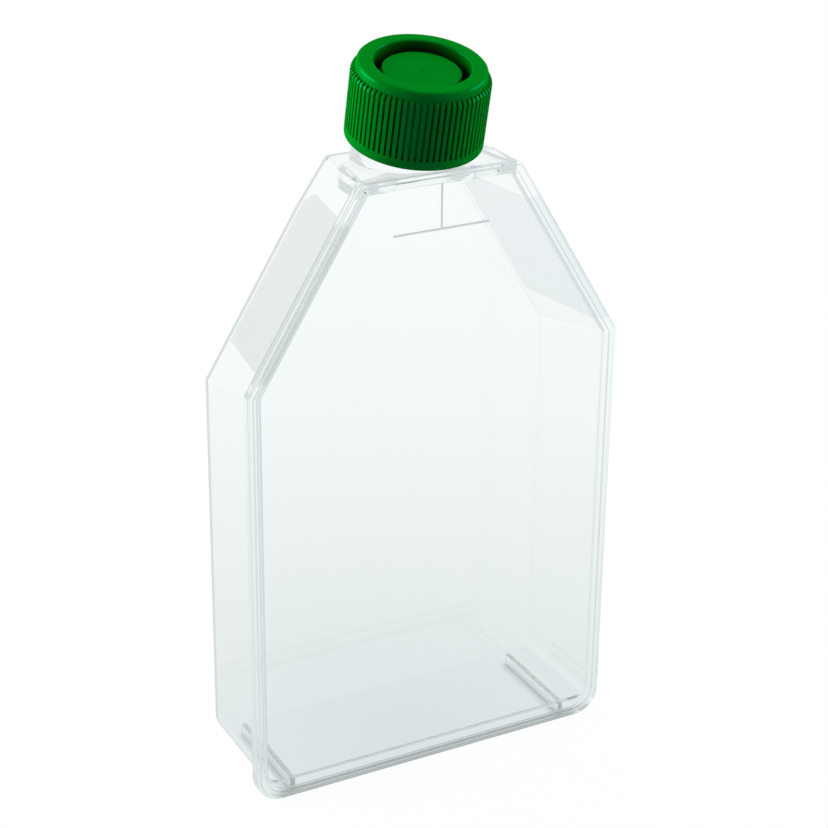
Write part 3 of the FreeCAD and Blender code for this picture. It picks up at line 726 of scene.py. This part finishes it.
class FLASK_OT_add_cap(bpy.types.Operator):
    """Add the ribbed screw cap with its ring, well, webs and middle disc"""
    bl_idname = "flask.add_cap"
    bl_label = "Add Screw Cap"

    def execute(self, context):
        settings = context.scene.flask_cap
        whole = join([self.shell(settings), *self.ribs(settings), self.disc(settings),
                      *self.webs(settings), self.thread(settings)], "green_cap")
        stand_on_neck(whole)
        smooth(whole, degrees=35)
        finish_piece(whole, "screw_cap", "cap", green_plastic(settings))
        return {"FINISHED"}

    def shell(self, settings):
        """Skirt, ring, well, plug and ledge, turned in one."""
        top = settings.height
        skirt, bore, ring = settings.skirt_radius, settings.bore_radius, settings.ring_radius
        well = settings.well_radius
        band = settings.band_height
        foot = settings.ring_foot
        shoulder = foot - 0.6 * MM
        ceiling = top - settings.ring_thickness
        plug = well + settings.plug_wall
        plug_end = plug_height(settings)
        seat = well - settings.seat_width
        seat_top = plug_end + settings.seat_thickness
        corners = [
            (bore, 0), (CAP_RADIUS, 0), (CAP_RADIUS, band), (skirt, band), (skirt, shoulder),
            (ring, foot), (ring, top), (well, top), (well, seat_top), (seat, seat_top),
            (seat, plug_end), (plug, plug_end), (plug, ceiling), (bore, ceiling)]
        rounded = [
            (CAP_RADIUS, 0, 0.4 * MM), (CAP_RADIUS, band, 0.15 * MM), (skirt, shoulder, 0.3 * MM),
            (ring, top, settings.ring_rounding), (well, top, 0.6 * MM), (bore, 0, 0.3 * MM),
            (plug, plug_end, 0.3 * MM)]
        return lathe("cap_shell", corners, steps=180, rounded=rounded)

    def ribs(self, settings):
        """One rib: a bar with a half-round face, whose top slopes inwards. Then a ring of them."""
        half = settings.rib_width / 2
        root = settings.skirt_radius - 0.25 * MM
        bottom = settings.band_height - 0.2 * MM
        peak = settings.ring_foot - 0.05 * MM
        free = 0.1 * MM
        rib = block("grip_rib", (root, -half, bottom), (CAP_RADIUS, half, peak))
        edit(rib)
        pick(rib, "verts", lambda v: v.co.x > CAP_RADIUS - NEAR and v.co.z > peak - NEAR)
        bpy.ops.transform.translate(value=(0, 0, settings.rib_top - peak))

        def brow(edge):
            first, second = (v.co for v in edge.verts)
            return (min(first.z, second.z) > settings.rib_top - NEAR
                    and abs(first.z - second.z) < NEAR
                    and max(first.x, second.x) > CAP_RADIUS - NEAR)

        def flank(edge):
            return (edge.calc_face_angle(0) > math.radians(60)
                    and min(v.co.x for v in edge.verts) > root + free
                    and max(v.co.z for v in edge.verts) > bottom + free)

        round_edges(rib, brow, 1.1 * MM, segments=4)
        round_edges(rib, flank, half * 0.92, segments=4)
        return copy_round(rib, settings.rib_count)

    def disc(self, settings):
        """The middle disc, with the small pip that its gate leaves."""
        top = settings.height - settings.disc_drop
        foot = top - settings.disc_thickness
        rim = settings.disc_radius
        pip = 0.9 * MM
        return lathe("vent_disc", [
            (0, top + 0.4 * MM), (pip * 0.4, top + 0.3 * MM), (pip * 0.75, top + 0.08 * MM),
            (pip, top), (rim, top), (rim, foot), (0, foot)],
            steps=96, rounded=[(rim, top, 0.4 * MM)])

    def webs(self, settings):
        """Bars on the membrane's ledge that tie the disc to the wall of the well."""
        top = settings.height - settings.disc_drop - settings.disc_thickness + settings.web_grip
        low = plug_height(settings) + settings.seat_thickness
        inner, outer = settings.well_radius - 5.4 * MM, settings.well_radius + 0.5 * MM
        half = settings.web_width / 2
        web = block("web", (inner, -half, low), (outer, half, top))
        round_edges(web, lambda edge: all(v.co.z > top - NEAR for v in edge.verts), 0.2 * MM,
                    segments=2)
        return copy_round(web, settings.web_count)

    def thread(self, settings):
        """The ridge of the screw thread inside the skirt."""
        crest = settings.bore_radius - settings.thread_depth
        sunk = settings.bore_radius + 0.3 * MM
        middle = settings.thread_middle
        wide, narrow = 1.0 * MM, 0.5 * MM
        turns = settings.thread_turns
        ridge = draw_profile("cap_thread", [
            (sunk, middle - wide), (crest, middle - narrow), (crest, middle + narrow),
            (sunk, middle + wide)])
        bpy.ops.object.mode_set(mode="OBJECT")
        apply_modifier(ridge, "SCREW", axis="Z", angle=TURN * turns,
                       screw_offset=settings.thread_pitch * turns, steps=80, iterations=1)
        edit(ridge, "EDGE")
        bpy.ops.mesh.select_non_manifold()
        bpy.ops.mesh.fill_holes(sides=0)
        close_up(ridge)
        return ridge


class FLASK_OT_add_membrane(bpy.types.Operator):
    """Add the filter membrane that closes the vent from inside"""
    bl_idname = "flask.add_membrane"
    bl_label = "Add Vent Membrane"

    def execute(self, context):
        settings = context.scene.flask_cap
        top = plug_height(settings) - settings.membrane_gap
        low = top - settings.membrane_thickness
        rim, held, middle = MEMBRANE_RADIUS, MEMBRANE_RADIUS * 0.86, MEMBRANE_RADIUS * 0.4
        membrane = lathe("filter_disc", [
            (0, top - 0.12 * MM), (middle, top - 0.1 * MM), (rim * 0.78, top - 0.02 * MM),
            (held, top), (rim, top), (rim, low), (held, low), (middle, low - 0.04 * MM),
            (0, low - 0.06 * MM)],
            steps=96, rounded=[(rim, low, 0.08 * MM)])
        stand_on_neck(membrane)
        smooth(membrane, degrees=40)
        finish_piece(membrane, "vent_membrane", "lift", membrane_felt())
        return {"FINISHED"}


# ------------------------------------------------------------------ stage

class FLASK_OT_add_stage(bpy.types.Operator):
    """Add the white floor, the surroundings, the lamps and the camera"""
    bl_idname = "flask.add_stage"
    bl_label = "Add Stage"

    def execute(self, context):
        settings = context.scene.flask_stage
        context.scene.view_settings.view_transform = "Standard"
        self.floor()
        self.surroundings(context.scene, settings)
        self.lamps(settings)
        self.camera(context.scene, settings)
        return {"FINISHED"}

    def floor(self):
        """A white floor that glows for the rays that see it and keeps the flask's shadow. In
        reflections and through the plastic it shows painted shade near the flask and a painted
        contact shadow under it.
        """
        radius, rim = 4.0, 3.0
        select_only()
        bpy.ops.mesh.primitive_circle_add(vertices=96, radius=radius, fill_type="NGON")
        floor = bpy.context.active_object
        floor.name = "floor"
        edit(floor, "FACE")
        bpy.ops.mesh.select_all(action="SELECT")
        bpy.ops.mesh.inset(thickness=rim)
        bpy.ops.object.mode_set(mode="OBJECT")
        material = bpy.data.materials.new("white_floor")
        shader = Shader(material)
        straight, seen = shader.seen()
        reach = shader.add("ShaderNodeVectorMath", {"operation": "LENGTH"},
                           {0: shader.place()}, "Value")
        far = 0.8
        # Painted shade: for reflections and for rays through the plastic the floor grows darker
        # towards the flask.
        tone = shader.add("ShaderNodeValToRGB", {"stops": [
            (0.0, (0.74, 0.77, 0.78)), (0.08, (0.80, 0.83, 0.835)), (0.16, (0.86, 0.885, 0.885)),
            (0.35, (0.93, 0.95, 0.95)), (0.65, (0.975, 0.98, 0.985)), (1.0, WHITE)]},
            {0: shader.rise(reach, 0.0, far)})
        # Painted contact shadow: the floor grows darker still where the flask is close above it.
        contact_shade = shader.add("ShaderNodeAmbientOcclusion", {"samples": 6},
                           {"Distance": 3.0 * MM}, "AO")
        painted_floor_shade = shader.blend(contact_shade, (0.22, 0.25, 0.25), tone)
        shown = shader.blend(straight, painted_floor_shade, WHITE)
        glow = shader.add("ShaderNodeEmission", None, {"Color": shown, "Strength": 1.0})
        paint = shader.blend(straight, (0.3, 0.3, 0.3), WHITE)
        matt = shader.add("ShaderNodeBsdfDiffuse", None, {"Color": paint})
        shade = shader.add("ShaderNodeMapRange", None, {
            "Value": reach, "From Min": 0.15, "From Max": 0.4, "To Min": 0.05, "To Max": 0.0})
        shader.surface(shader.add("ShaderNodeMixShader", None, {
            0: seen - straight * shade, 1: matt, 2: glow}))
        floor.data.materials.append(material)

    def surroundings(self, scene, settings):
        """White straight ahead, and greyer towards the top for what is seen in the plastic."""
        world = bpy.data.worlds.new("white_studio")
        scene.world = world
        shader = Shader(world, "ShaderNodeOutputWorld")
        straight, seen = shader.seen()
        around = shader.add("ShaderNodeBackground", None, {
            "Color": WHITE, "Strength": settings.fill})
        direction = shader.add("ShaderNodeTexCoord", output="Generated")
        height = shader.add("ShaderNodeSeparateXYZ", None, {0: direction}, "Z")
        tone = shader.add("ShaderNodeValToRGB", {"stops": [
            (0.0, WHITE), (0.2, WHITE), (0.4, (0.8, 0.83, 0.84)),
            (0.65, (0.46, 0.48, 0.49)), (1.0, (0.28, 0.3, 0.31))]}, {0: height})
        shown = shader.blend(straight, tone, WHITE)
        backdrop = shader.add("ShaderNodeBackground", None, {"Color": shown, "Strength": 1.0})
        shader.surface(shader.add("ShaderNodeMixShader", None, {0: seen, 1: around, 2: backdrop}))

    def lamps(self, settings):
        """A soft lamp above, and one at each side for just the opaque pieces and the floor."""
        heading = settings.heading
        right = Vector((math.cos(heading), -math.sin(heading), 0))
        back = Vector((math.sin(heading), math.cos(heading), 0))
        up = Vector((0, 0, 1))
        middle = up * 0.12
        opaque = bpy.data.collections.new("opaque_pieces")
        for name in ("green_cap", "filter_disc", "floor"):
            opaque.objects.link(bpy.data.objects[name])
        above = self.lamp("top_lamp", middle + up * 1.1 + back * 0.3, middle,
                          size=1.6, watts=settings.top_light)
        above.visible_glossy = False
        for name, side, behind, share in (
                ("left_lamp", -1.0, 0.2, 1.0), ("right_lamp", 1.0, 0.35, 0.6)):
            place = middle + right * side + back * behind + up * 0.3
            beside = self.lamp(name, place, middle, size=0.7, watts=settings.side_light * share)
            beside.light_linking.receiver_collection = opaque

    def lamp(self, name, place, target, size, watts):
        """A square lamp that is turned towards the target."""
        select_only()
        turn = (target - place).to_track_quat("-Z", "Y").to_euler()
        bpy.ops.object.light_add(type="AREA", location=place, rotation=turn)
        lamp = bpy.context.active_object
        lamp.name = name
        lamp.data.shape = "SQUARE"
        lamp.data.size = size
        lamp.data.energy = watts
        lamp.visible_transmission = False
        return lamp

    def camera(self, scene, settings):
        """The camera at its stand, turned as the settings say."""
        place = Vector((0, PLATE_HIGH.y, 0)) + Vector(settings.stand)
        turn = (Matrix.Rotation(-settings.heading, 4, "Z")
                @ Matrix.Rotation(math.pi / 2 - settings.dip, 4, "X")
                @ Matrix.Rotation(settings.roll, 4, "Z"))
        select_only()
        bpy.ops.object.camera_add(location=place, rotation=turn.to_euler())
        camera = bpy.context.active_object
        camera.name = "camera"
        camera.data.lens = settings.lens
        camera.data.sensor_width = 36.0
        camera.data.clip_start = 0.01
        camera.data.clip_end = 20.0
        scene.camera = camera


class FLASK_PT_panel(bpy.types.Panel):
    """Sizes, colours and the buttons that add each piece"""
    bl_idname = "FLASK_PT_panel"
    bl_label = "Culture Flask"
    bl_space_type = "VIEW_3D"
    bl_region_type = "UI"
    bl_category = "Flask"

    def draw(self, context):
        for settings in (context.scene.flask, context.scene.flask_cap, context.scene.flask_stage):
            box = self.layout.box()
            for name in settings.__annotations__:
                box.prop(settings, name)
        for operator in OPERATORS:
            self.layout.operator(operator.bl_idname)


SETTINGS = {"flask": FlaskSettings, "flask_cap": CapSettings, "flask_stage": StageSettings}
OPERATORS = (FLASK_OT_add_body, FLASK_OT_add_plate, FLASK_OT_add_cap, FLASK_OT_add_membrane,
             FLASK_OT_add_stage)
CLASSES = (*SETTINGS.values(), *OPERATORS, FLASK_PT_panel)


def register():
    for each in CLASSES:
        bpy.utils.register_class(each)
    for name, group in SETTINGS.items():
        setattr(bpy.types.Scene, name, PointerProperty(type=group))


def unregister():
    for name in SETTINGS:
        delattr(bpy.types.Scene, name)
    for each in reversed(CLASSES):
        bpy.utils.unregister_class(each)


def main():
    """Build everything."""
    register()
    for operator in OPERATORS:
        group, name = operator.bl_idname.split(".")
        getattr(getattr(bpy.ops, group), name)()
    select_only()


if __name__ == "__main__":
    main()
